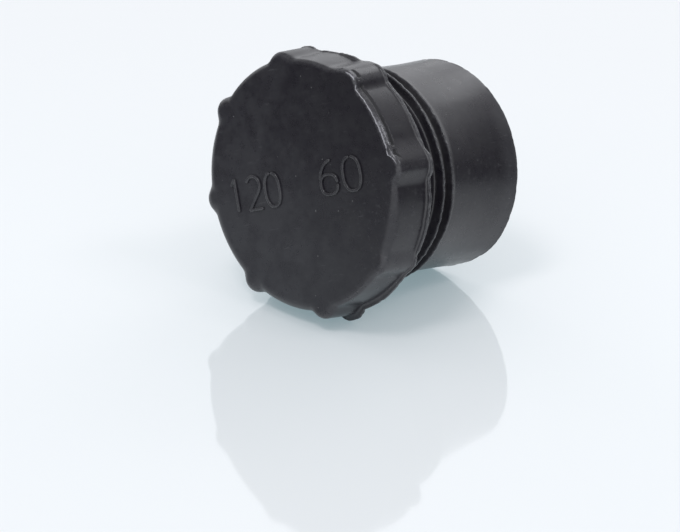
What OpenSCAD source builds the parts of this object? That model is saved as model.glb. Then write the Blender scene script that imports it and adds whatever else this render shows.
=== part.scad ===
// Moped fuel cap: one soft rubber moulding that pushes into the tank's filler neck.
// The hollow plug doubles as a measuring cup for oil.
// Z runs along the plug: 0 is the open rim, the gripped head is at the top.

/* [Filler neck] */
// Bore of the filler neck that the plug enters
neck_bore_d = 40; // [32:0.5:44]
// Free play of the straight skirt in that bore, on the radius
skirt_play = 0.3; // [0.1:0.05:0.6]
// How far the sealing edges stand beyond that bore, on the radius
seal_squeeze = 0.85; // [0.3:0.05:1.2]

/* [Head] */
// Diameter of the head at the front, between the lobes
head_d = 46; // [45:0.5:60]
// Height of the head, from its rear plane to the face
head_h = 8.4; // [6:0.1:14]
// How much wider the head is at its rear plane, on the radius
head_draft = 0.65; // [0:0.05:1.2]
// Rounding of the edge between face and side
face_edge_r = 1.3; // [0.5:0.1:2.4]
// Thickness of the face over the cup
face_wall = 4; // [3:0.1:6]

/* [Grip lobes] */
// Number of lobes round the head
lobe_count = 8; // [5:1:12]
// Radius of a lobe's half-round section
lobe_r = 3.1; // [2.2:0.1:4.5]
// How far a lobe stands out of the head at the front
lobe_reach = 1.85; // [1:0.05:2.2]
// How far a lobe's front end lies behind the face
lobe_step = 0.1; // [0.1:0.1:1.5]
// Rounding of a lobe's front end
lobe_edge_r = 1.1; // [0.3:0.1:1.6]

/* [Moulding rim] */
// How far the rim at the parting plane stands out, on the radius
rim_reach = 0.45; // [0.1:0.05:0.8]
// Height of that rim
rim_h = 0.7; // [0.3:0.1:1.5]

/* [Seal] */
// Height of the tapered neck between the sealing lip and the head
neck_h = 7.5; // [4:0.1:10]
// How much the neck widens up to the head, on the radius
neck_flare = 1.45; // [0.4:0.05:1.8]
// Height of the groove between the sealing lip and the skirt
skirt_groove_h = 2.15; // [1.2:0.05:4]
// Depth of the groove and of the neck's foot, on the radius
groove_depth = 1.9; // [0.8:0.1:2.4]
// Fillet at the foot of the groove
groove_foot_r = 0.4; // [0.1:0.05:0.5]
// Thickness of the sealing lip at its edge
lip_edge_t = 0.45; // [0.3:0.05:0.8]
// Thickness of the sealing lip at its root
lip_root_t = 0.9; // [0.5:0.05:1.2]

/* [Skirt] */
// Height of the skirt under the groove
skirt_h = 19.7; // [10:0.1:40]
// Height of the sharp sealing edge at the top of the skirt
skirt_edge_h = 0.4; // [0.2:0.1:1]
// Height of the slope that leads up to that edge when the plug goes in
skirt_slope_h = 1.4; // [0.8:0.1:4]
// Rounding of the rim's outer edge
rim_outer_r = 0.2; // [0.2:0.1:1]

/* [Cup] */
// Wall of the cup in the skirt
cup_wall = 2.7; // [1.8:0.1:3]
// Rounding at the bottom of the cup, behind the face
cup_corner_r = 2.5; // [1:0.1:5]
// Bevel of the cup's mouth
cup_mouth_bevel = 0.6; // [0.2:0.1:0.9]

/* [Hidden] */
$fn = 128;
head_r = head_d / 2;
seal_r = neck_bore_d / 2 + seal_squeeze;
skirt_r = neck_bore_d / 2 - skirt_play;
groove_r = seal_r - groove_depth;
cup_r = skirt_r - cup_wall;
lip_z = skirt_h + skirt_groove_h;
lip_slope = (lip_root_t - lip_edge_t) / 2;
head_z = lip_z + lip_edge_t + neck_h;
face_z = head_z + head_h;
cup_top_z = face_z - face_wall;
lobe_centre_r = head_r + lobe_reach - lobe_r;
// Overlap that joins one form to the next, and lets a cut run out of the solid
join = 1;

// Half section of a post from z0 up to z1, with a rounded top edge
module rounded_post_section(foot_r, top_r, z0, z1, edge_r) {
    polygon([[0, z0], [foot_r, z0], [top_r, z1 - edge_r], [0, z1 - edge_r]]);
    translate([0, z1 - edge_r - join])
        square([top_r - edge_r, edge_r + join]);
    translate([top_r - edge_r, z1 - edge_r])
        circle(r = edge_r);
}

// Round body of the head, with its drafted side
module head_body() {
    rotate_extrude()
        rounded_post_section(head_r + head_draft, head_r, head_z, face_z, face_edge_r);
}

// One half-round grip lobe, from the rear plane to just behind the face
module grip_lobe() {
    rotate_extrude()
        rounded_post_section(lobe_r, lobe_r, head_z, face_z - lobe_step, lobe_edge_r);
}

// Repeats its children at each lobe's own axis
module at_each_lobe() {
    for (i = [0 : lobe_count - 1])
        rotate(i * 360 / lobe_count)
            translate([lobe_centre_r, 0])
                children();
}

// Low rim that the parting plane of the mould leaves round the head and its lobes
module moulding_rim() {
    translate([0, 0, head_z]) {
        cylinder(h = rim_h, r = head_r + head_draft + rim_reach);
        at_each_lobe()
            cylinder(h = rim_h, r = lobe_r + rim_reach);
    }
}

// Half section of the skirt: straight, with a barbed sealing edge at its top
module skirt_section() {
    edge_foot_z = skirt_h - skirt_edge_h;
    polygon([
        [0, rim_outer_r],
        [skirt_r, rim_outer_r],
        [skirt_r, edge_foot_z - skirt_slope_h],
        [seal_r, edge_foot_z],
        [seal_r, skirt_h],
        [0, skirt_h]
    ]);
    square([skirt_r - rim_outer_r, rim_outer_r + join]);
    translate([skirt_r - rim_outer_r, rim_outer_r])
        circle(r = rim_outer_r);
}

// Half section of the core that joins skirt to head: straight in the groove, then a widening neck
module core_section() {
    neck_z = lip_z + lip_edge_t + lip_slope;
    polygon([
        [0, skirt_h - join],
        [groove_r, skirt_h - join],
        [groove_r, neck_z],
        [groove_r + neck_flare, head_z],
        [groove_r + neck_flare, head_z + join],
        [0, head_z + join]
    ]);
}

// Half section of the thin sealing lip between groove and neck
module lip_section() {
    polygon([
        [0, lip_z - lip_slope],
        [groove_r, lip_z - lip_slope],
        [seal_r, lip_z],
        [seal_r, lip_z + lip_edge_t],
        [groove_r, lip_z + lip_edge_t + lip_slope],
        [0, lip_z + lip_edge_t + lip_slope]
    ]);
}

// Fillet at the foot of the groove, over the skirt
module groove_foot() {
    translate([groove_r, skirt_h])
        difference() {
            translate([-join, -join])
                square(groove_foot_r + join);
            translate([groove_foot_r, groove_foot_r])
                circle(r = groove_foot_r);
        }
}

// The plug under the head, before the cup is taken out
module plug_body() {
    rotate_extrude() {
        skirt_section();
        core_section();
        lip_section();
        groove_foot();
    }
}

// The hollow: a plain cup that opens at the rim
module cup_hollow() {
    rotate_extrude() {
        translate([0, -join])
            square([cup_r, cup_top_z - cup_corner_r + join]);
        translate([0, cup_top_z - cup_corner_r - join])
            square([cup_r - cup_corner_r, cup_corner_r + join]);
        translate([cup_r - cup_corner_r, cup_top_z - cup_corner_r])
            circle(r = cup_corner_r);
        polygon([
            [0, -join],
            [cup_r + cup_mouth_bevel + join, -join],
            [cup_r, cup_mouth_bevel],
            [0, cup_mouth_bevel]
        ]);
    }
}

// The whole cap: lobed head, sealing neck and hollow skirt in one moulding
module fuel_cap() {
    color([0.13, 0.13, 0.14])
        difference() {
            union() {
                head_body();
                at_each_lobe()
                    grip_lobe();
                moulding_rim();
                plug_body();
            }
            cup_hollow();
        }
}

fuel_cap();
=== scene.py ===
# Moped fuel cap: one rubber moulding with plain numbers on its face, lying on a glossy pale table.
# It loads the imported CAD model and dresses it. The axis is Z, the open rim is at 0 and the face is up.
import math

import bpy
import numpy as np
from mathutils import Matrix


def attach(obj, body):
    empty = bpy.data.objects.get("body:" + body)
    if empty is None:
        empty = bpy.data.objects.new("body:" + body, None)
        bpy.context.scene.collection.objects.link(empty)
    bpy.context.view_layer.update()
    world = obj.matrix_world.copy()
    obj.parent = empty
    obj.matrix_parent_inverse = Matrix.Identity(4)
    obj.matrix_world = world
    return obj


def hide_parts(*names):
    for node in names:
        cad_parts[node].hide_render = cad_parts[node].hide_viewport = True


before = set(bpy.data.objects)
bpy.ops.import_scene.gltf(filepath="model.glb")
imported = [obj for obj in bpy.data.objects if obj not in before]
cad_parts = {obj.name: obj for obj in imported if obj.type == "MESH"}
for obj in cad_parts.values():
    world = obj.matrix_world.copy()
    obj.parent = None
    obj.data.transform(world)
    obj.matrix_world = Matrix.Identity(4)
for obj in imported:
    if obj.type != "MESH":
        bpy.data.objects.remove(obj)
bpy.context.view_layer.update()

mm = 0.001
black = (0.0, 0.0, 0.0, 1.0)


# Small helpers

def ringNoise(angle, seed, waves, gain):
    # a sum of cosines, each with a whole number of waves round the ring, so that it closes on itself
    random = np.random.default_rng(seed)
    total = np.zeros_like(angle)
    for count, size in zip(waves, gain):
        total = total + size * np.cos(count * angle + random.uniform(0, 2 * np.pi))
    return total


def roundedCorner(a, b, radius):
    # distance to the solid that lies inside both faces, with their common corner rounded
    u, v = a + radius, b + radius
    inside = np.minimum(np.maximum(u, v), 0)
    return inside + np.hypot(np.maximum(u, 0), np.maximum(v, 0)) - radius


def filletUnion(a, b, radius):
    # distance to two solids taken together, with a fillet where they meet
    u, v = np.maximum(radius - a, 0), np.maximum(radius - b, 0)
    return np.maximum(radius, np.minimum(a, b)) - np.hypot(u, v)


def blendUnion(a, b, width):
    # the smaller of two distances, with a smooth change between them inside and outside the solids
    near = np.clip(1 - np.abs(a - b) / width, 0, 1)
    return np.minimum(a, b) - near ** 2 * width / 4


def smoothStep(low, high, value):
    # 0 at low, 1 at high, and level at both ends
    t = np.clip((value - low) / (high - low), 0, 1)
    return t * t * (3 - 2 * t)


def signedPower(value, power):
    # a power that keeps the sign, which makes ovals and round sections squarer below 1
    return np.sign(value) * np.abs(value) ** power


def gridFaces(rows, columns):
    # quads between neighbouring rings; the last column joins the first
    row, column = np.meshgrid(np.arange(rows - 1), np.arange(columns), indexing="ij")
    nextColumn = (column + 1) % columns
    corners = (row * columns + column, row * columns + nextColumn,
               (row + 1) * columns + nextColumn, (row + 1) * columns + column)
    return np.stack(corners, axis=-1).reshape(-1, 4)


def poleFaces(ring, pole, flipped):
    # triangles from one ring to a single point that closes it
    following = np.roll(ring, -1)
    hub = np.full(len(ring), pole)
    order = (hub, following, ring) if flipped else (hub, ring, following)
    return np.stack(order, axis=-1)


def meshPiece(name, points, quads, triangles, material, layers=None):
    # points are in millimetres; the object stays at the origin with its place in its mesh
    mesh = bpy.data.meshes.new(name)
    mesh.vertices.add(len(points))
    mesh.vertices.foreach_set("co", (np.asarray(points) * mm).astype(np.float32).ravel())
    corners = np.concatenate([np.ravel(quads), np.ravel(triangles)]).astype(np.int32)
    sizes = np.concatenate([np.full(len(quads), 4), np.full(len(triangles), 3)])
    mesh.loops.add(len(corners))
    mesh.loops.foreach_set("vertex_index", corners)
    mesh.polygons.add(len(sizes))
    starts = np.concatenate([[0], np.cumsum(sizes)[:-1]]).astype(np.int32)
    mesh.polygons.foreach_set("loop_start", starts)
    mesh.polygons.foreach_set("use_smooth", np.ones(len(sizes), dtype=bool))
    for label, values in (layers or {}).items():
        layer = mesh.attributes.new(label, "FLOAT", "POINT")
        layer.data.foreach_set("value", values.astype(np.float32).ravel())
    mesh.update(calc_edges=True)
    mesh.validate()
    mesh.materials.append(material)
    made = bpy.data.objects.new(name, mesh)
    bpy.context.scene.collection.objects.link(made)
    return made


class Wire:
    # wraps a socket, so that shader maths reads as plain sums
    def __init__(self, tree, socket=None):
        self.tree = tree
        self.socket = socket

    def node(self, kind, settings=None, inputs=None, output=0):
        made = self.tree.nodes.new(kind)
        for label, value in (settings or {}).items():
            setattr(made, label, value)
        for label, value in (inputs or {}).items():
            if isinstance(value, Wire):
                self.tree.links.new(value.socket, made.inputs[label])
            else:
                made.inputs[label].default_value = value
        return Wire(self.tree, made.outputs[output] if len(made.outputs) else None)

    def maths(self, operation, first, second=0.0):
        return self.node("ShaderNodeMath", {"operation": operation}, {0: first, 1: second})

    def __add__(self, other):
        return self.maths("ADD", self, other)

    def __sub__(self, other):
        return self.maths("SUBTRACT", self, other)

    def __rsub__(self, other):
        return self.maths("SUBTRACT", other, self)

    def __mul__(self, other):
        return self.maths("MULTIPLY", self, other)

    def __truediv__(self, other):
        return self.maths("DIVIDE", self, other)

    __radd__ = __add__
    __rmul__ = __mul__

    def above(self, low, high):
        # 0 below low, 1 above high, and a smooth change between them
        return self.node("ShaderNodeMapRange", {"interpolation_type": "SMOOTHSTEP"},
                         {"Value": self, "From Min": low, "From Max": high})

    def clipped(self):
        return self.node("ShaderNodeClamp", None, {"Value": self})

    def blend(self, low, high):
        # a colour between two, with this value as the share of the second
        return self.node("ShaderNodeMix", {"data_type": "RGBA"}, {0: self, 6: low, 7: high}, 2)

    def vector(self, operation, second, output=0):
        return self.node("ShaderNodeVectorMath", {"operation": operation}, {0: self, 1: second}, output)

    def attribute(self, name):
        return self.node("ShaderNodeAttribute", {"attribute_name": name}, None, 2)

    def part(self, axis):
        return self.node("ShaderNodeSeparateXYZ", None, {0: self}, axis)

    def noise(self, scale, detail=2.0, roughness=0.5, stretch=None, shift=(0.0, 0.0, 0.0)):
        place = self.node("ShaderNodeMapping", None,
                          {"Vector": self, "Location": shift, "Scale": stretch or (1.0, 1.0, 1.0)})
        return self.node("ShaderNodeTexNoise", None, {"Vector": place, "Scale": scale, "Detail": detail,
                                                      "Roughness": roughness})


def newMaterial(name):
    material = bpy.data.materials.new(name)
    material.use_nodes = True
    material.node_tree.nodes.clear()
    return material, Wire(material.node_tree)


# Rubber

rubber = {  # colours are linear, lengths are millimetres
    "dark": (0.0082, 0.0067, 0.0112, 1.0),
    "light": (0.0135, 0.0124, 0.0160, 1.0),
    "grimeAndGrooveLight": (0.085, 0.083, 0.085, 1.0),
    "wornAndGlint": (0.12, 0.12, 0.127, 1.0),
    "scrapeAndGlint": (0.36, 0.355, 0.38, 1.0),
    "darkLine": (0.004, 0.004, 0.005, 1.0),
    "dust": (0.20, 0.20, 0.20, 1.0),
    "filmAndSheen": (0.0100, 0.0102, 0.0112, 1.0),  # a mottled film on the face, and painted sheen that lightens it towards -X
    "paintedSheen": (0.020, 0.0205, 0.0215, 1.0),   # painted sheen: a lighter mottled tone on the side towards -Y and near the open rim
    "rough": 0.29,
    # how much of each shows at most
    "scuffShare": 0.22, "wornAndGlintShare": 0.5, "dustShare": 0.7, "scratchShare": 0.25, "darkLineShare": 0.8,
    # heights of the fine grain, the slow waves of the mould, the specks, the ridge and the dent of the dark
    # line
    "grain": 0.0035, "ripple": 0.05, "speckUp": 0.01, "ridgeUp": 0.05, "darkLineDown": 0.20,
    # how fine each noise is, in cells per millimetre
    "scale": {"cloud": 0.16, "ripple": 0.22, "patch": 0.55, "cells": 0.55, "streak": 0.8, "jag": 0.9,
              "fine": 1.1, "chafe": 1.6, "scratch": 2.2, "torn": 3.2, "grain": 5.0},
    # millimetres down the side where the bright ridge, which is partly a painted highlight, the mottled
    # band and the dark line begin and end
    "ridgeFrom": (0.26, 0.40), "ridgeTo": (0.42, 0.56), "bandFrom": (0.2, 0.5), "bandTo": (1.1, 1.7),
    "darkLineFrom": (1.35, 1.7), "darkLineTo": (2.0, 2.5),
    # heights between which the look of the side gives way to that of the face
    "faceSpan": (37.9, 38.15),
    # millimetres along X, -Y or -Z over which scuffs and films set in
    "scuffX": (7.0, 15.0), "scuffY": (-6.0, 3.0), "filmAndSheenX": (-17.0, 15.0), "paintedSheenY": (6.0, 19.0),
    "paintedSheenZ": (-5.0, -0.5),
    # wear from bends down the profile and round the ring, on every bend, on the parting rim, and at most
    "bendWear": 0.35, "ringWear": 1.5, "leastWear": 0.15, "rimWear": 0.8, "mostWear": 1.6,
    # how much dirt stays in hollows on the head and under it
    "headDirt": 0.15, "bodyDirt": 0.5,
    # (degrees round the cap, amount)
    # painted highlight: wear is made heaviest on the upper right, where the edges catch the light, besides
    # real wear
    "rubbedAndGlint": ((20, 1.5), (50, 1.0), (85, 0.3), (200, 0.15), (300, 0.15), (330, 0.2), (356, 0.6)),
    # painted highlight: where the face's edge gets a bright line, partly bare scraped rubber
    "scrapedAndGlint": ((3, 0.6), (7, 1.0), (9, 0.5), (11, 0.85), (18, 1.0), (27, 0.76), (41, 0.75), (43, 0.3),
                (45, 0.95), (48, 0.9), (51, 0.0), (359, 0.0)),
    # painted light: the groove is lightened most on its upper side, where light reaches into it, besides
    # dust
    "grooveDustAndLight": ((0, 0.6), (15, 0.9), (35, 1.8), (60, 1.8), (90, 0.8), (180, 0.6), (330, 0.6)),
}


def scrapedEdgeAndGlint(place, wire, look):
    # wear and a painted highlight where the face ends, and a dark line further down the side, by how far
    # down the side a point is, with noise to make the borders uneven
    run = wire.attribute("edgeRun") + (place.noise(look["scale"]["jag"], 3.0, 0.6) - 0.5) * 0.5
    scrapedAndGlint = wire.attribute("scrapedAndGlint")
    torn = place.noise(look["scale"]["torn"], 4.0, 0.7, shift=(1.0, 6.0, 2.0))
    ridge = (1 - run.above(*look["ridgeTo"])) * run.above(*look["ridgeFrom"])
    band = (1 - run.above(*look["bandTo"])) * run.above(*look["bandFrom"])
    band = band * (0.05 + torn.above(0.40, 0.62) * 0.36)
    # a dark line down the side, darker in colour, rougher and dented, where the edge is scraped
    darkLine = (1 - run.above(*look["darkLineTo"])) * run.above(*look["darkLineFrom"]) * scrapedAndGlint.above(0.55, 0.85)
    bareAndGlint = scrapedAndGlint.above(0.4, 0.75) * ridge * torn.above(0.30, 0.44) + scrapedAndGlint.above(0.72, 0.98) * band
    return bareAndGlint.clipped(), darkLine, ridge * scrapedAndGlint * look["ridgeUp"] - darkLine * look["darkLineDown"]


def dustSpecks(place, wire, scale):
    # small spots at the middles of some cells
    cells = place.node("ShaderNodeTexVoronoi", {"feature": "F1"}, {"Vector": place, "Scale": scale})
    cellColour = Wire(wire.tree, cells.socket.node.outputs["Color"])
    lottery = cells.node("ShaderNodeSeparateColor", None, {0: cellColour})
    return (1 - cells.above(0.035, 0.075)) * lottery.above(0.62, 0.70)


def rubberMaterial(name, look):
    material, wire = newMaterial(name)
    place = wire.node("ShaderNodeTexCoord", None, None, 3).vector("SCALE", (0.0, 0.0, 0.0))
    place.socket.node.inputs["Scale"].default_value = 1 / mm
    x, y, z = place.part(0), place.part(1), place.part(2)
    hollow = wire.attribute("hollow")
    face = z.above(*look["faceSpan"])
    scale = look["scale"]
    cloud = place.noise(scale["cloud"], 3.0, 0.55)
    patch = place.noise(scale["patch"], 4.0, 0.6, shift=(7.0, 3.0, 1.0))
    grain = place.noise(scale["grain"], 3.0, 0.6)
    waves = place.noise(scale["ripple"], 2.0, 0.5, shift=(5.0, 5.0, 5.0))

    streak = place.noise(scale["streak"], 5.0, 0.65, stretch=(0.35, 2.4, 1.0), shift=(2.0, 9.0, 4.0))
    fine = place.noise(scale["fine"], 5.0, 0.7, shift=(3.0, 1.0, 8.0))
    handled = x.above(*look["scuffX"]) * (0 - y).above(*look["scuffY"])  # where fingers and keys rub most
    scuff = streak.above(0.60, 0.74) * cloud.above(0.42, 0.62)
    scuff = (scuff + handled * fine.above(0.56, 0.66) * 0.6).clipped()
    uneven = 0.25 + place.noise(scale["chafe"], 4.0, 0.7).above(0.35, 0.62)
    # painted highlight and wear: edge wear lightens the colour, most on the upper right
    chafedAndGlint = (wire.attribute("edgeWearAndGlint") * uneven).clipped()
    bareAndGlint, darkLine, edgeHeight = scrapedEdgeAndGlint(place, wire, look)
    speck = dustSpecks(place, wire, scale["cells"])
    lines = place.noise(scale["scratch"], 1.0, 0.5, stretch=(1.0, 1.0, 0.05), shift=(4.0, 4.0, 0.0))
    scratch = lines.above(0.71, 0.75) * cloud.above(0.45, 0.6)

    # painted sheen: a lighter mottled tone on the side towards -Y and near the open rim
    low = (0 - y).above(*look["paintedSheenY"]) + (0 - z).above(*look["paintedSheenZ"]) * 0.8
    paintedSheen = low * (0.5 + cloud) * (1 - face)
    mottle = 0.35 + patch.above(0.35, 0.68) * 0.55 + cloud.above(0.40, 0.60) * 0.55
    # painted sheen with a mottled film: the face is lighter towards -X
    filmAndSheen = (0 - x + (cloud - 0.5) * 16).above(*look["filmAndSheenX"]) * mottle * face

    base = (cloud * 0.55 + patch * 0.45).above(0.36, 0.66).blend(look["dark"], look["light"])
    # dirt in hollows, and painted light in the groove, lighten the colour
    base = (hollow * (0.3 + patch * 0.8)).clipped().blend(base, look["grimeAndGrooveLight"])
    base = (scuff * look["scuffShare"]).blend(base, look["wornAndGlint"])
    base = (chafedAndGlint * look["wornAndGlintShare"]).blend(base, look["wornAndGlint"])
    # painted highlight: a bright line along the face's edge, partly bare scraped rubber
    base = bareAndGlint.blend(base, look["scrapeAndGlint"])
    base = (speck * look["dustShare"]).blend(base, look["dust"])
    base = base.vector("ADD", paintedSheen.blend(black, look["paintedSheen"]))
    base = base.vector("ADD", filmAndSheen.blend(black, look["filmAndSheen"]))
    base = (scratch * look["scratchShare"] * (1 - face)).blend(base, look["wornAndGlint"])
    base = (darkLine * look["darkLineShare"]).blend(base, look["darkLine"])

    rough = look["rough"] + darkLine * 0.5 + (patch - 0.5) * 0.16 + scuff * 0.10
    rough = rough + hollow * 0.12 - chafedAndGlint * 0.06 + speck * 0.2
    height = waves * look["ripple"] + grain * look["grain"] + patch * look["grain"]
    height = height + speck * look["speckUp"] + edgeHeight
    bump = wire.node("ShaderNodeBump", None, {"Height": height * mm, "Distance": 1.0, "Strength": 1.0})

    skin = wire.node("ShaderNodeBsdfPrincipled", None, {
        "Base Color": base, "Roughness": rough.clipped(), "IOR": 1.5, "Normal": bump})
    wire.node("ShaderNodeOutputMaterial", None, {"Surface": skin})
    return material


# The moulding

cap = {  # millimetres; a list of pairs is (degrees round the cap, millimetres)
    # mesh points round the cap, and how much closer they stand on the lobes
    "columns": 720, "bunching": 0.45,
    # the head: drafted side, flat middle of the face, and an edge that is sharp in one place only
    "faceZ": 38.2, "headZ": 29.8, "faceRadius": 22.95, "footRadius": 23.65, "plateRadius": 19.8,
    "leanCosine": 0.996,                    # turns a distance along the radius into one across the wall
    "edge": ((4, 0.9), (20, 0.8), (38, 0.45), (60, 0.8), (100, 1.1), (150, 1.9), (190, 2.1), (240, 1.9),
             (275, 1.3), (305, 1.1), (335, 1.8), (355, 1.0)),
    # the lobes; the shifts are degrees, and no two lobes are quite alike
    "lobeRadius": 3.1, "lobeCentre": 21.75, "lobeTaper": 0.045,
    "lobeBlend": ((12, 2.6), (30, 1.0), (41, 0.8), (55, 3.4), (75, 1.6), (100, 1.1), (340, 1.1),
                  (354, 1.0)),
    "lobeShift": (0.1, 2.0, -0.3, -0.3, -0.3, -0.3, 0.5, -1.5),
    "lobeReach": (0.0, 0.10, -0.10, 0.05, -0.15, 0.15, 0.15, -0.60),
    # the rim that the mould's parting plane leaves, and the rear plane, which is flat inside rearRadius
    "rim": ((20, 0.34), (47, 0.27), (62, 0.35), (75, 0.16), (120, 0.14), (200, 0.3), (247, 0.62),
            (272, 1.0), (287, 0.85), (302, 0.62), (316, 0.42), (330, 0.66), (346, 0.66), (0, 0.42)),
    "rimHeight": 0.6, "rimFlash": 0.09, "rimFillet": 0.15, "rimCorner": 0.10, "rimBlend": 0.5,
    "rearRadius": 23.2, "rearFade": 1.2,
    # neck, lip and groove
    "neckRadius": 20.4, "neckFoot": 19.0, "neckZ": 22.6, "grooveRadius": 18.95, "fillet": 0.4,
    "lipRadius": 20.85, "lipTop": 22.3, "lipFoot": 21.85, "lipRoot": 0.225,
    # skirt and cup
    "barb": ((15, 20.78), (35, 20.62), (87, 20.4), (180, 20.5), (275, 20.65), (312, 20.85), (338, 21.08),
             (356, 20.85)),
    "skirtTop": 19.7, "barbZ": 19.3, "slopeZ": 17.9, "skirtRadius": 19.65, "skirtWaist": 0.22,
    "skirtRim": ((0, 20.27), (45, 20.15), (70, 19.93), (88, 19.7), (180, 19.75), (250, 19.75), (274, 19.8),
                 (288, 20.15), (302, 20.55), (325, 20.5), (345, 20.35)),
    "rimEdge": 0.16, "cupRadius": 17.0, "cupTop": 34.2, "cupCorner": 2.5, "cupMouth": 0.6,
    # how far each stretch strays from its true form, and how much ragged edges lose
    "stray": {"lift": 0.07, "neck": 0.05, "lip": 0.10, "lipEdge": 0.10, "barb": 0.08, "sag": 0.05,
              "skirt": 0.035, "nick": 0.05},
    "trim": 0.02,
    # edgeRun where nothing is scraped: on the face and inside the cup
    "faceRun": -20.0, "cupRun": 99.0,
}
rings = {  # where the moulding's mesh has its rows
    "hub": 19.0,                            # radius inside the head that the head's rows are aimed from
    "plate": (2.0, 5.0, 9.0, 13.0, 17.0, 19.6),                   # radii on the face
    "face": (0.35, 0.7, 0.93),                                    # shares of the way on to its edge
    "edge": (0, 9, 18, 28, 38, 48, 58, 68, 78, 90),               # degrees round the edge
    "wall": (0.1, 0.22, 0.36, 0.5, 0.64, 0.78, 0.88, 0.95, 1.0),  # shares of the way down the side
    "rear": (23.2, 21.4),                                         # radii on the rear plane
    "neck": (28.9, 28.0, 27.1, 26.2, 25.5, 24.9, 24.3, 23.8, 23.4, 23.05),  # heights, here and below
    "skirt": (17.2, 15.8, 14.2, 12.4, 10.4, 8.4, 6.4, 4.6, 3.2, 2.2, 1.2, 0.6, 0.3),
    "cup": (1.6, 5.0, 10.0, 16.0, 22.0, 27.0, 30.5),
    "bottom": (12.5, 10.0, 7.0, 4.0, 1.5),                        # radii on the bottom of the cup
    "unworn": 16,                                                 # the last rows, well inside the cup
}


def roundTheCap(angle, stops):
    # a size that glides from one (degrees, size) pair to the next and closes on itself
    ordered = sorted((place % 360, size) for place, size in stops)
    places = [ordered[-1][0] - 360] + [place for place, size in ordered] + [ordered[0][0] + 360]
    sizes = np.array([ordered[-1][1]] + [size for place, size in ordered] + [ordered[0][1]])
    run = np.interp(np.degrees(angle) % 360, places, np.arange(len(places)))
    before = np.minimum(run.astype(int), len(places) - 2)
    share = smoothStep(0, 1, run - before)
    return sizes[before] * (1 - share) + sizes[before + 1] * share


def wallRadius(z):
    # the drafted side is a straight line from its foot up to the face
    share = (z - cap["headZ"]) / (cap["faceZ"] - cap["headZ"])
    return cap["footRadius"] + (cap["faceRadius"] - cap["footRadius"]) * share


def lobeAt(angle, z):
    # the nearest lobe: the angle from its middle, how far its axis is from the cap's, and its radius
    count = len(cap["lobeShift"])
    nearest = np.round(angle * count / (2 * np.pi)).astype(int) % count
    middle = nearest * 2 * np.pi / count + np.radians(np.array(cap["lobeShift"]))[nearest]
    offset = (angle - middle + np.pi) % (2 * np.pi) - np.pi
    radius = cap["lobeRadius"] - cap["lobeTaper"] * np.maximum(z - cap["headZ"], 0)
    return offset, cap["lobeCentre"] + np.array(cap["lobeReach"])[nearest], radius


def lobeReach(angle, z):
    # how far out a lobe reaches along each angle, or 0 where it doesn't
    offset, centre, radius = lobeAt(angle, z)
    side = centre * np.sin(offset)
    reach = centre * np.cos(offset) + np.sqrt(np.maximum(radius ** 2 - side ** 2, 0))
    return np.where(radius ** 2 > side ** 2, reach, 0)


def rimOut(angle):
    # how far the rim stands out: a slow change round the cap and the ragged flash of the parting plane
    coarse = ringNoise(angle, 3, (3, 5, 9, 14, 22, 31), (0.30, 0.25, 0.25, 0.25, 0.2, 0.2))
    fine = ringNoise(angle, 4, (47, 61, 83, 109, 137, 171), (0.25, 0.22, 0.2, 0.18, 0.15, 0.12))
    return roundTheCap(angle, cap["rim"]) + cap["rimFlash"] * np.clip(coarse + fine, -1.3, 1.0)


def rimLift(angle):
    # how far the rim's top wanders up and down
    wander = ringNoise(angle, 6, (7, 13, 21, 37, 58, 79, 113), (0.4, 0.4, 0.4, 0.35, 0.3, 0.25, 0.2))
    return cap["stray"]["lift"] * wander


def headDistance(r, angle, z):
    # distance to the head: drafted body and lobes with one rounded edge, and the rim at their foot
    offset, centre, radius = lobeAt(angle, z)
    axis = np.sqrt(r ** 2 + centre ** 2 - 2 * r * centre * np.cos(offset))
    wall = (r - wallRadius(z)) * cap["leanCosine"]
    side = blendUnion(wall, axis - radius, roundTheCap(angle, cap["lobeBlend"]))
    whole = roundedCorner(z - cap["faceZ"], side, roundTheCap(angle, cap["edge"]))
    ring = filletUnion(r - cap["footRadius"], axis - cap["lobeRadius"], cap["rimBlend"]) - rimOut(angle)
    half = cap["rimHeight"] / 2
    aside = np.abs(z - cap["headZ"] - half - rimLift(angle)) - half
    whole = filletUnion(whole, roundedCorner(aside, ring, cap["rimCorner"]), cap["rimFillet"])
    wavy = smoothStep(cap["rearRadius"], cap["rearRadius"] + cap["rearFade"], r)
    return np.maximum(whole, cap["headZ"] + rimLift(angle) * 0.5 * wavy - z)


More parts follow.
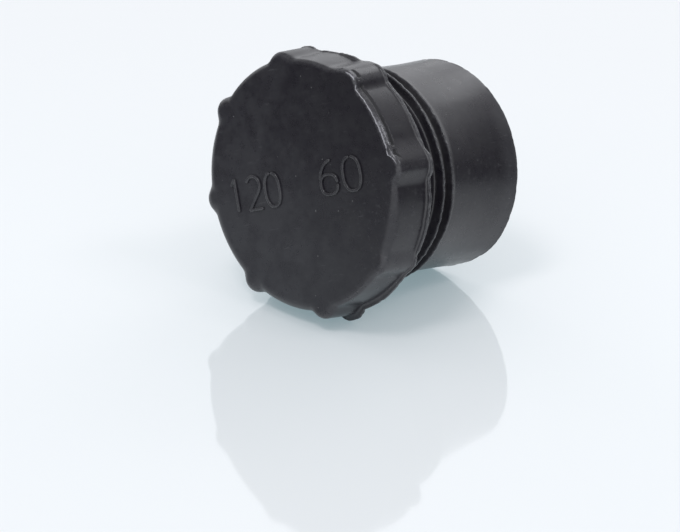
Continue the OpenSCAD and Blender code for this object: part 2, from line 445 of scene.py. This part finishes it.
def headRings(angle):
    # rows of r and z from the face to the rear plane; each is aimed one by one and lands on the head's skin
    face, edge = cap["faceZ"], roundTheCap(angle, cap["edge"])
    flat = angle * 0
    outline = np.maximum(wallRadius(face - edge), lobeReach(angle, face - edge))
    plate = cap["plateRadius"]
    aims = []
    for share in rings["face"]:
        aims.append((plate + (outline - edge - plate) * share, flat + face))
    for turn in np.radians(rings["edge"]):
        aims.append((outline - edge * (1 - np.sin(turn)), face - edge * (1 - np.cos(turn))))
    wallFoot = cap["headZ"] + cap["rimHeight"] + 0.24  # over the fillet of the rim
    for share in rings["wall"]:
        z = (face - edge) * (1 - share) + wallFoot * share
        aims.append((np.maximum(wallRadius(z), lobeReach(angle, z)), z))
    reach = rimOut(angle)
    outer = np.maximum(cap["footRadius"], lobeReach(angle, cap["headZ"])) + reach
    top, foot = cap["headZ"] + cap["rimHeight"] + rimLift(angle), cap["headZ"] + rimLift(angle) * 0.5
    aims.append((outer - reach * 0.75, top + 0.05))
    aims.append((outer - reach * 0.45, top))
    aims.append((outer - 0.12, top))
    aims.append((outer - 0.04, top - 0.02))
    for z in (top - 0.09, (top + foot) / 2, foot + 0.10):
        aims.append((outer, z))
    aims.append((outer - 0.05, foot))
    aims.append((outer - 0.4, foot))
    for radius in rings["rear"]:
        aims.append((flat + radius, flat + cap["headZ"]))
    aimR = np.array([aim[0] for aim in aims])
    aimZ = np.array([aim[1] + flat for aim in aims])
    hubR, hubZ = rings["hub"], cap["headZ"] + cap["rimHeight"] / 2
    alongR, alongZ = aimR - hubR, aimZ - hubZ
    everyAngle = angle[None, :] + aimR * 0
    near, far = np.full_like(aimR, 0.2), np.full_like(aimR, 1.6)  # shares of the way from hub to aim
    for step in range(34):  # each step halves the span that holds the skin
        middle = (near + far) / 2
        outside = headDistance(hubR + alongR * middle, everyAngle, hubZ + alongZ * middle) > 0
        far = np.where(outside, middle, far)
        near = np.where(outside, near, middle)
    return hubR + alongR * far, hubZ + alongZ * far


class Outline:
    # rows of r and z, each a value for every angle round the cap, set down from one end to the other
    def __init__(self, angle):
        self.angle = angle
        self.r, self.z = [], []

    def row(self, r, z):
        self.r.append(self.angle * 0 + r)
        self.z.append(self.angle * 0 + z)

    def arc(self, centreR, centreZ, radius, turns):
        # part of a circle, with a row at each of these degrees
        for turn in np.radians(turns):
            self.row(centreR + radius * np.cos(turn), centreZ + radius * np.sin(turn))


def neckStretch(outline):
    # a fillet under the head, then a slightly dented cone down to the lip
    top, foot, fillet = cap["neckRadius"], cap["neckFoot"], cap["fillet"]
    outline.arc(top + fillet, cap["headZ"] - fillet, fillet, (90, 120, 150, 172))
    dent = cap["stray"]["neck"] * ringNoise(outline.angle, 11, (2, 3, 5, 8, 13), (1, 0.8, 0.6, 0.5, 0.4))
    for z in rings["neck"]:
        share = (z - cap["neckZ"]) / (cap["headZ"] - cap["neckZ"])
        outline.row(foot + (top - foot) * share + dent * math.sin(math.pi * share), z)


def lipStretch(outline):
    # a thin fin that tapers from its root, waves up and down and is frayed at its edge
    angle, stray = outline.angle, cap["stray"]
    foot, groove, fillet = cap["neckFoot"], cap["grooveRadius"], cap["fillet"]
    wave = stray["lip"] * ringNoise(angle, 21, (2, 3, 5, 7, 11, 17), (0.9, 0.8, 0.5, 0.4, 0.25, 0.2))
    frayed = ringNoise(angle, 22, (4, 9, 19, 33, 52, 71, 97), (0.3, 0.3, 0.3, 0.3, 0.25, 0.25, 0.2))
    edge = stray["lipEdge"] * frayed - cap["trim"]
    lip, root, upper, lower = cap["lipRadius"], cap["lipRoot"], cap["lipTop"], cap["lipFoot"]
    outline.arc(foot + 0.3, upper + root + 0.28, 0.3, (185, 205, 235, 262))
    outline.row(foot + 0.9, upper + root * 0.5 + wave * 0.5)
    outline.row(lip - 0.35 + edge * 0.5, upper + root * 0.1 + wave * 0.9)
    outline.row(lip - 0.08 + edge, upper - 0.02 + wave)
    outline.row(lip + edge, upper - 0.10 + wave)
    outline.row(lip + edge, lower + 0.10 + wave)
    outline.row(lip - 0.08 + edge, lower + 0.02 + wave)
    outline.row(lip - 0.35 + edge * 0.5, lower - root * 0.1 + wave * 0.9)
    outline.row(groove + 1.0, lower - root * 0.5 + wave * 0.4)
    outline.arc(groove + fillet, lower - root - fillet, fillet, (98, 125, 160, 180))


def skirtStretch(outline):
    # a ragged barb over the groove, a slope that leads up to it, and a waisted skirt down to its nicked rim
    angle, stray, groove, fillet = outline.angle, cap["stray"], cap["grooveRadius"], cap["fillet"]
    ragged = ringNoise(angle, 31, (7, 12, 26, 41, 66, 89), (0.35, 0.35, 0.3, 0.3, 0.25, 0.2))
    barb = roundTheCap(angle, cap["barb"]) + (stray["barb"] * ragged - cap["trim"])
    sag = stray["sag"] * ringNoise(angle, 32, (2, 3, 5, 9), (0.8, 0.7, 0.5, 0.4))
    skirtTop, barbZ, slopeZ, skirt = cap["skirtTop"], cap["barbZ"], cap["slopeZ"], cap["skirtRadius"]
    outline.arc(groove + fillet, skirtTop + fillet, fillet, (180, 200, 235, 270))
    outline.row(barb - 0.5, skirtTop + sag * 0.7)
    outline.row(barb - 0.08, skirtTop + sag)
    outline.row(barb, skirtTop - 0.07 + sag)
    outline.row(barb, barbZ + 0.07 + sag)
    outline.row(barb - 0.07, barbZ - 0.03 + sag)
    for share in (0.2, 0.45, 0.7, 0.9):
        fall = 1 - (1 - share) ** 1.6
        outline.row(barb + (skirt - barb) * fall, barbZ + (slopeZ - barbZ) * share)
    rim = roundTheCap(angle, cap["skirtRim"])
    for z in rings["skirt"]:
        low = 1 - z / slopeZ
        waisted = skirt - cap["skirtWaist"] * math.sin(math.pi * low)
        wave = stray["skirt"] * ringNoise(angle + 0.05 * z, 41, (2, 3, 5, 8), (1, 0.7, 0.5, 0.4))
        outline.row(waisted + (rim - skirt) * low ** 3 + wave * (1.1 - low), z)
    nicks = ringNoise(angle, 51, (5, 9, 17, 29, 43, 67, 91), (0.6, 0.5, 0.4, 0.4, 0.3, 0.3, 0.3))
    rim = rim + np.minimum(stray["nick"] * nicks, 0.04)  # cut in deeper than it stands proud
    outline.arc(rim - cap["rimEdge"], cap["rimEdge"], cap["rimEdge"], (-5, -35, -60, -88))
    outline.row(rim - 1.2, 0.0)


def cupStretch(outline):
    # a small bevel at the mouth, a straight wall and a rounded corner to the flat bottom
    wall, top, corner = cap["cupRadius"], cap["cupTop"], cap["cupCorner"]
    mouth = wall + cap["cupMouth"]
    outline.row(mouth + 0.15, 0.0)
    outline.row(mouth + 0.04, 0.03)
    outline.row(mouth - 0.5, 0.52)
    outline.row(mouth - 0.58, 0.66)
    for z in rings["cup"]:
        outline.row(wall, z)
    outline.arc(wall - corner, top - corner, corner, (0, 15, 30, 45, 60, 75, 90))
    for r in rings["bottom"]:
        outline.row(r, top)


def turning(first, second, loops):
    # how sharply a line of points bends, in radians per millimetre; positive where it bulges
    if loops:
        beforeX, beforeY = first - np.roll(first, 1, axis=0), second - np.roll(second, 1, axis=0)
        afterX, afterY = np.roll(first, -1, axis=0) - first, np.roll(second, -1, axis=0) - second
    else:
        beforeX, beforeY = np.zeros_like(first), np.zeros_like(second)
        beforeX[1:], beforeY[1:] = np.diff(first, axis=0), np.diff(second, axis=0)
        afterX, afterY = np.zeros_like(first), np.zeros_like(second)
        afterX[:-1], afterY[:-1] = np.diff(first, axis=0), np.diff(second, axis=0)
    cross = beforeX * afterY - beforeY * afterX
    dot = beforeX * afterX + beforeY * afterY
    span = (np.hypot(beforeX, beforeY) + np.hypot(afterX, afterY)) / 2 + 0.02
    return np.arctan2(cross, dot) / span


def wearDirtAndLight(r, z, angle, look):
    # wear on what bulges, made heavier on the upper right as a painted highlight, and dirt in what is
    # hollow, by how sharply the rows and the rings bend; the groove also gets painted light
    along = -turning(r, z, False)
    around = turning((r * np.cos(angle)).T, (r * np.sin(angle)).T, True).T
    around = np.where(z > cap["faceZ"] - 0.01, 0, around)  # the face is flat, although its rings bend
    rubbedAndGlint = roundTheCap(angle, look["rubbedAndGlint"])
    onRim = (r > cap["footRadius"] + 0.03) & (z > cap["headZ"] - 0.3) & (z < cap["headZ"] + 0.8)
    wornAndGlint = np.clip(along * look["bendWear"], 0, 1) + np.clip((around - 0.12) * look["ringWear"], 0, 0.5)
    wornAndGlint = wornAndGlint * (look["leastWear"] + rubbedAndGlint) + onRim * look["rimWear"] * rubbedAndGlint
    outside = (np.arange(len(r)) < len(r) - rings["unworn"])[:, None]
    dirtAndGrooveLight = np.clip(-along * 0.5, 0, 1) + np.clip(-around * 0.8, 0, 1)
    dirtAndGrooveLight = dirtAndGrooveLight * np.where(z > cap["headZ"] + 1, look["headDirt"], look["bodyDirt"])
    # painted light and dust: the groove under the head is lightened, most on its upper side
    inGroove = smoothStep(20.7, 20.0, r) * smoothStep(19.6, 19.9, z) * smoothStep(22.1, 21.8, z)
    dirtAndGrooveLight = np.clip(dirtAndGrooveLight + inGroove * roundTheCap(angle, look["grooveDustAndLight"]), 0, 2)
    return np.clip(wornAndGlint, 0, look["mostWear"]) * outside, dirtAndGrooveLight


def makeCap(material, look):
    # rings of points down the profile, closed by one point on the face and one at the bottom of the cup
    count = cap["columns"]
    lobes = len(cap["lobeShift"])
    even = np.arange(count) * 2 * np.pi / count
    angle = even - cap["bunching"] * np.sin(lobes * even) / lobes
    plateR = np.array([angle * 0 + radius for radius in rings["plate"]])
    headR, headZ = headRings(angle)
    below = Outline(angle)
    for stretch in (neckStretch, lipStretch, skirtStretch, cupStretch):
        stretch(below)
    r = np.concatenate([plateR, headR, np.array(below.r)])
    z = np.concatenate([plateR * 0 + cap["faceZ"], headZ, np.array(below.z)])

    wornAndGlint, dirtAndGrooveLight = wearDirtAndLight(r, z, angle, look)
    steps = np.hypot(np.diff(r, axis=0, prepend=r[:1]), np.diff(z, axis=0, prepend=z[:1]))
    profile = np.cumsum(steps, axis=0)
    bend = len(rings["plate"]) + len(rings["face"])     # the row where the face ends
    scrapedAndGlint = roundTheCap(angle, look["scrapedAndGlint"]) + z * 0
    layers = {"edgeWearAndGlint": np.append(wornAndGlint.ravel(), [0, 0]), "hollow": np.append(dirtAndGrooveLight.ravel(), [0, 0]),
              "edgeRun": np.append((profile - profile[bend]).ravel(), [cap["faceRun"], cap["cupRun"]]),
              "scrapedAndGlint": np.append(scrapedAndGlint.ravel(), [0, 0])}

    points = np.stack([r * np.cos(angle), r * np.sin(angle), z], axis=-1).reshape(-1, 3)
    points = np.concatenate([points, [[0, 0, cap["faceZ"]], [0, 0, cap["cupTop"]]]])
    rows = len(r)
    quads = gridFaces(rows, count)[:, ::-1]
    triangles = np.concatenate([
        poleFaces(np.arange(count), rows * count, False),
        poleFaces(np.arange(count) + (rows - 1) * count, rows * count + 1, True)])
    print("cap rows", rows, "triangles", len(quads) * 2 + len(triangles))
    return meshPiece("capMoulding", points, quads, triangles, material, layers)


# Plain numbers on the face

marks = {  # millimetres on the face
    "width": 0.64, "height": 0.42, "sunk": 0.02, "sides": 16, "tall": 6.1, "wide": 3.6,
    "squareness": 0.7,  # power on the section's sine and cosine; 1 is an oval
    "wear": 0.35,
    "left": {"text": "120", "at": (-17.6, -3.0), "pitch": 4.7},
    "right": {"text": "60", "at": (5.6, -2.6), "pitch": 5.7, "wide": 4.2},
}


def curveLine(points, count=60):
    # an even walk along straight runs between the points
    line = np.array(points, float)
    lengths = np.concatenate([[0], np.cumsum(np.hypot(*np.diff(line, axis=0).T))])
    where = np.linspace(0, lengths[-1], count)
    return np.stack([np.interp(where, lengths, line[:, 0]), np.interp(where, lengths, line[:, 1])], axis=-1)


def ovalLine(centreX, centreY, halfX, halfY, start, end, power=2.4, count=48):
    # an oval with slightly squared shoulders, walked from one angle to another
    t = np.radians(np.linspace(start, end, count))
    x = centreX + halfX * signedPower(np.cos(t), 2 / power)
    y = centreY + halfY * signedPower(np.sin(t), 2 / power)
    return np.stack([x, y], axis=-1)


def digitLines(digit):
    # strokes of a plain numeral in a box one wide and one tall
    if digit == "0":
        return [ovalLine(0.5, 0.5, 0.5, 0.5, 90, 450)]
    if digit == "1":
        return [curveLine([(0.28, 0.80), (0.55, 1.0), (0.55, 0.0)])]
    if digit == "2":
        top = ovalLine(0.5, 0.72, 0.46, 0.28, 160, -38, 2.0)
        return [np.concatenate([top, curveLine([top[-1], (0.04, 0.0), (0.98, 0.0)])[1:]])]
    if digit == "6":
        stem = ovalLine(0.78, 0.36, 0.76, 0.64, 92, 172, 2.0)
        return [stem, ovalLine(0.5, 0.30, 0.48, 0.30, 0, 360)]
    return []


def strokeRidge(line):
    # an oval section carried along the line, with both ends drawn in to a point
    step = np.gradient(line, axis=0)
    step = step / np.hypot(step[:, 0], step[:, 1])[:, None]
    across = np.stack([-step[:, 1], step[:, 0]], axis=-1)
    run = np.concatenate([[0], np.cumsum(np.hypot(*np.diff(line, axis=0).T))])
    halfWidth, sides, base = marks["width"] / 2, marks["sides"], cap["faceZ"] - marks["sunk"]
    ends = np.minimum(run, run[-1] - run) / halfWidth
    size = np.sqrt(np.clip(1 - (1 - np.clip(ends, 0.03, 1)) ** 2, 0, 1))
    turn = np.arange(sides) * 2 * np.pi / sides
    side = size[:, None] * halfWidth * signedPower(np.cos(turn), marks["squareness"])[None, :]
    up = size[:, None] * marks["height"] * signedPower(np.sin(turn), marks["squareness"])[None, :]
    x = line[:, 0:1] + across[:, 0:1] * side
    y = line[:, 1:2] + across[:, 1:2] * side
    points = np.stack([x, y, base + up], axis=-1).reshape(-1, 3)
    points = np.concatenate([points, [[*line[0], base], [*line[-1], base]]])
    quads = gridFaces(len(line), sides)
    ring, pole = np.arange(sides), len(line) * sides
    triangles = np.concatenate([
        poleFaces(ring, pole, True),
        poleFaces(ring + pole - sides, pole + 1, False)])
    return points, quads, triangles


def makeMarks(material):
    # the ridges of all strokes of both numbers as one piece
    points, quads, triangles, total = [], [], [], 0
    for side in ("left", "right"):
        mark = marks[side]
        wide = mark.get("wide", marks["wide"])
        for place, digit in enumerate(mark["text"]):
            for line in digitLines(digit):
                corner = np.array([mark["at"][0] + place * mark["pitch"], mark["at"][1]])
                ridge, someQuads, someTriangles = strokeRidge(line * (wide, marks["tall"]) + corner)
                points.append(ridge)
                quads.append(someQuads + total)
                triangles.append(someTriangles + total)
                total += len(ridge)
    points, quads, triangles = np.concatenate(points), np.concatenate(quads), np.concatenate(triangles)
    rise = (points[:, 2] - cap["faceZ"]) / marks["height"]
    none = np.zeros(len(points))
    layers = {"edgeWearAndGlint": np.clip(rise * marks["wear"], 0, 1), "hollow": none,
              "edgeRun": none + cap["faceRun"], "scrapedAndGlint": none}
    return meshPiece("faceMarks", points, quads, triangles, material, layers)


# Table, light and camera

studio = {
    "restAzimuth": 67.5,                                       # the side of the cap that is up as it lies
    "tableSide": 0.20, "tableFront": 0.45, "tableBack": 0.75,  # metres from the cap
    # a glossy top over a sheet that seems lit from below
    "tableColour": (0.665, 0.61, 0.60, 1.0), "tableRough": 0.05,
    "tableGlow": (0.64, 0.91, 1.0, 1.0), "glow": 0.29, "glowFar": 0.22,
    # metres between which the table fades to the right, the left and the back, and how much is lost
    "fadeRight": (0.075, 0.17), "lostRight": 0.75,
    "fadeLeft": (0.10, 0.20), "lostLeft": 0.35,
    "fadeBack": (-0.20, 0.06),
    # the sky overhead, at the very top, by the horizon, under it, behind the cap and behind the camera
    "skyColour": (0.95, 0.965, 1.0, 1.0),
    "high": 0.74, "top": 0.64, "low": 0.28, "under": 0.15, "back": 1.25, "front": 1.25,
    # parts of the way up, or forward, between which one of these levels gives way to the next
    "highSpan": (0.45, 0.67), "topSpan": (0.68, 0.82), "lowSpan": (-0.06, 0.10),
    "backSpan": (0.22, 0.62), "backRise": (-0.02, 0.10), "frontSpan": (0.45, 0.85),
    "lampAim": 0.02,                                           # metres over the table where lamps point
}
camera = {  # where the photograph was taken from, in metres, and its axes
    "at": (0.37066, -0.00245, 0.43498),
    "right": (0.72904, -0.16943, -0.66317),
    "up": (0.10874, 0.98524, -0.13218),
    "back": (0.67578, 0.02425, 0.73671),
    "lens": 158.82, "sensor": 36.0, "nearest": 0.01, "farthest": 20.0,
}


def tableNormal():
    # the cap lies on its skirt's rim and on the rim behind its head, between two lobes
    side = math.radians(studio["restAzimuth"])
    below = np.array(side + math.pi)
    drop = cap["footRadius"] + roundTheCap(below, cap["rim"]) - roundTheCap(below, cap["skirtRim"])
    tilt = math.atan(drop / cap["headZ"])
    return np.array([math.cos(side) * math.cos(tilt), math.sin(side) * math.cos(tilt), math.sin(tilt)])


def tableMaterial(toCamera, sideways):
    # a glossy top that fades to the sides and the back, and is clear from below
    material, wire = newMaterial("paleTable")
    place = wire.node("ShaderNodeTexCoord", None, None, 3)
    aside = place.vector("DOT_PRODUCT", tuple(sideways), 1)
    # painted light and shade: the glow is stronger nearer the camera, and the table's colour and glow
    # darken towards the right, the left and the back
    nearer = place.vector("DOT_PRODUCT", tuple(toCamera), 1).above(*studio["fadeBack"])
    fading = 1 - aside.above(*studio["fadeRight"]) * studio["lostRight"]
    fading = fading - (0 - aside).above(*studio["fadeLeft"]) * studio["lostLeft"]
    glow = (nearer * (studio["glow"] - studio["glowFar"]) + studio["glowFar"]) / studio["glow"] * fading
    gloss = wire.node("ShaderNodeBsdfPrincipled", None, {
        "Base Color": fading.blend(black, studio["tableColour"]),
        "Roughness": studio["tableRough"], "IOR": 1.5,
        "Emission Color": glow.blend(black, studio["tableGlow"]),
        "Emission Strength": studio["glow"]})
    behind = wire.node("ShaderNodeNewGeometry", None, None, 6)
    clear = wire.node("ShaderNodeBsdfTransparent")
    shown = wire.node("ShaderNodeMixShader", None, {0: behind, 1: gloss, 2: clear})
    wire.node("ShaderNodeOutputMaterial", None, {"Surface": shown})
    return material


def makeTable(piece, normal):
    # one quad, square to the normal, that just touches the piece
    spots = np.empty(len(piece.data.vertices) * 3, np.float32)
    piece.data.vertices.foreach_get("co", spots)
    level = float((spots.reshape(-1, 3) @ normal).min())
    toCamera = np.array(camera["back"])
    toCamera = toCamera - normal * (toCamera @ normal)
    toCamera = toCamera / np.linalg.norm(toCamera)
    sideways = np.cross(normal, toCamera)  # towards the picture's right
    side, near, far = studio["tableSide"], studio["tableFront"], -studio["tableBack"]
    centre = normal * level
    corners = []
    for a, b in ((-side, far), (-side, near), (side, near), (side, far)):
        corners.append(centre + sideways * a + toCamera * b)
    facing = np.cross(corners[1] - corners[0], corners[2] - corners[1]) @ normal
    quad = [[0, 1, 2, 3]] if facing > 0 else [[3, 2, 1, 0]]
    none = np.zeros((0, 3))
    material = tableMaterial(toCamera, sideways)
    table = meshPiece("paleTable", np.array(corners) / mm, np.array(quad), none, material)
    return level, toCamera, sideways


def makeSky(normal, toCamera):
    # bright overhead, behind the cap and behind the camera, dim near the horizon at the sides
    world = bpy.data.worlds.new("studioSky")
    world.use_nodes = True
    world.node_tree.nodes.clear()
    bpy.context.scene.world = world
    wire = Wire(world.node_tree)
    direction = wire.node("ShaderNodeTexCoord", None, None, 0)
    high = direction.vector("DOT_PRODUCT", tuple(normal), 1)
    ahead = direction.vector("DOT_PRODUCT", tuple(toCamera), 1)
    overhead = high.above(*studio["highSpan"])
    behind = (0 - ahead).above(*studio["backSpan"]) * high.above(*studio["backRise"])
    level = studio["under"] + high.above(*studio["lowSpan"]) * (studio["low"] - studio["under"])
    level = level + behind * (studio["back"] - studio["low"])
    level = level + ahead.above(*studio["frontSpan"]) * (studio["front"] - studio["low"])
    strength = level * (1 - overhead) + overhead * studio["high"]
    strength = strength + high.above(*studio["topSpan"]) * (studio["top"] - studio["high"])
    lit = wire.node("ShaderNodeBackground", None, {"Color": studio["skyColour"], "Strength": strength})
    wire.node("ShaderNodeOutputWorld", None, {"Surface": lit})


lamps = {  # degrees round from the camera and above the table, metres, and a level beside the sky's
    "backRight": {"round": 152.5, "above": 37.0, "away": 0.9, "size": (0.42, 0.16), "level": 2.3},
    "frontRight": {"round": 62.0, "above": 50.0, "away": 1.3, "size": (0.42, 0.26), "level": 6.6},
    "frontLeft": {"round": -33.0, "above": 61.0, "away": 1.3, "size": (0.34, 0.30), "level": 12.0},
}


def makeLamp(name, normal, toCamera, sideways, level):
    # a soft rectangle that looks at the cap and shows only in what it lights
    lamp = lamps[name]
    turn, lift = math.radians(lamp["round"]), math.radians(lamp["above"])
    back = (toCamera * math.cos(turn) + sideways * math.sin(turn)) * math.cos(lift)
    back = back + normal * math.sin(lift)
    across = np.cross(normal, back)
    across = across / np.linalg.norm(across)
    up = np.cross(back, across)
    spot = normal * (level + studio["lampAim"]) + back * lamp["away"]
    light = bpy.data.lights.new(name, "AREA")
    light.shape = "RECTANGLE"
    light.size, light.size_y = lamp["size"]
    light.energy = lamp["level"] * math.pi * lamp["size"][0] * lamp["size"][1]
    light.color = studio["skyColour"][:3]
    made = bpy.data.objects.new(name, light)
    made.matrix_world = Matrix([[across[i], up[i], back[i], spot[i]] for i in range(3)] + [[0, 0, 0, 1]])
    made.visible_camera = False
    bpy.context.scene.collection.objects.link(made)


def makeCamera():
    # one matrix whose columns are the camera's axes and its place
    lens = bpy.data.cameras.new("photoView")
    lens.lens = camera["lens"]
    lens.sensor_width = camera["sensor"]
    lens.clip_start, lens.clip_end = camera["nearest"], camera["farthest"]
    made = bpy.data.objects.new("photoView", lens)
    axes = (camera["right"], camera["up"], camera["back"], camera["at"])
    made.matrix_world = Matrix([[axis[i] for axis in axes] for i in range(3)] + [[0, 0, 0, 1]])
    bpy.context.scene.collection.objects.link(made)
    bpy.context.scene.camera = made


rubberSkin = rubberMaterial("blackRubber", rubber)
moulding = makeCap(rubberSkin, rubber)
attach(moulding, "root")
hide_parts("fuel_cap")
print("moulding made")

numbers = makeMarks(rubberSkin)
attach(numbers, "root")
print("numbers made")

makeCamera()
upright = tableNormal()
tableLevel, toCamera, sideways = makeTable(moulding, upright)
makeSky(upright, toCamera)
for lampName in lamps:
    makeLamp(lampName, upright, toCamera, sideways, tableLevel)
print("table, sky and camera made")

bpy.context.scene.view_settings.view_transform = "Standard"
